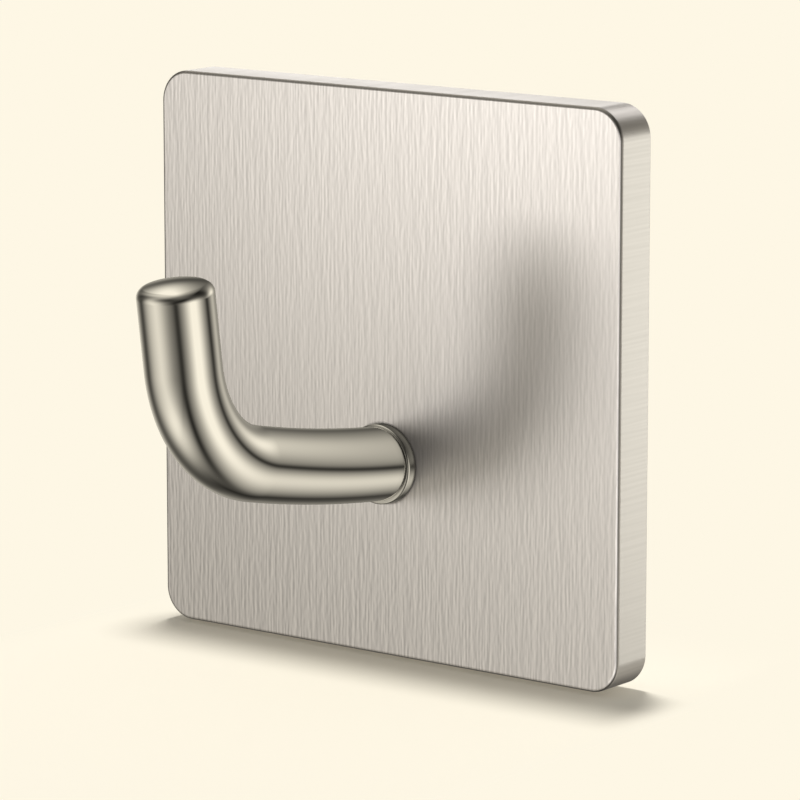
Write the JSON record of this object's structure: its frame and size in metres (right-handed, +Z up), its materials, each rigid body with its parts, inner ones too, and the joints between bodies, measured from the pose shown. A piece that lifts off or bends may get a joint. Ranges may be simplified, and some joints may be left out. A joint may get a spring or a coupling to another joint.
{
  "type": "wall hook",
  "caption": "Self-adhesive wall hook: a square brushed steel plate with rounded corners carries a bent, polished round bar with a domed tip for hanging towels, coats or keys.",
  "frame": {"origin": "centre of the adhesive pad's back face, which lies on the wall", "axes": "+Y into the wall, +Z up, +X to the right as seen from the room; the hook stands out along -Y"},
  "size_m": [0.046, 0.0331, 0.046],
  "materials": {
    "brushed_plate": "stainless sheet, brushed upright in long fine strokes",
    "polished_rod": "stainless bar, polished bright",
    "plated_screw": "bright zinc plated steel",
    "foam_pad": "white closed-cell foam with a tacky face"
  },
  "bodies": {
    "root": {"face_plate": "brushed_plate", "hook_rod": "polished_rod", "fixing_screw": "plated_screw", "adhesive_pad": "foam_pad"}
  },
  "joints": []
}
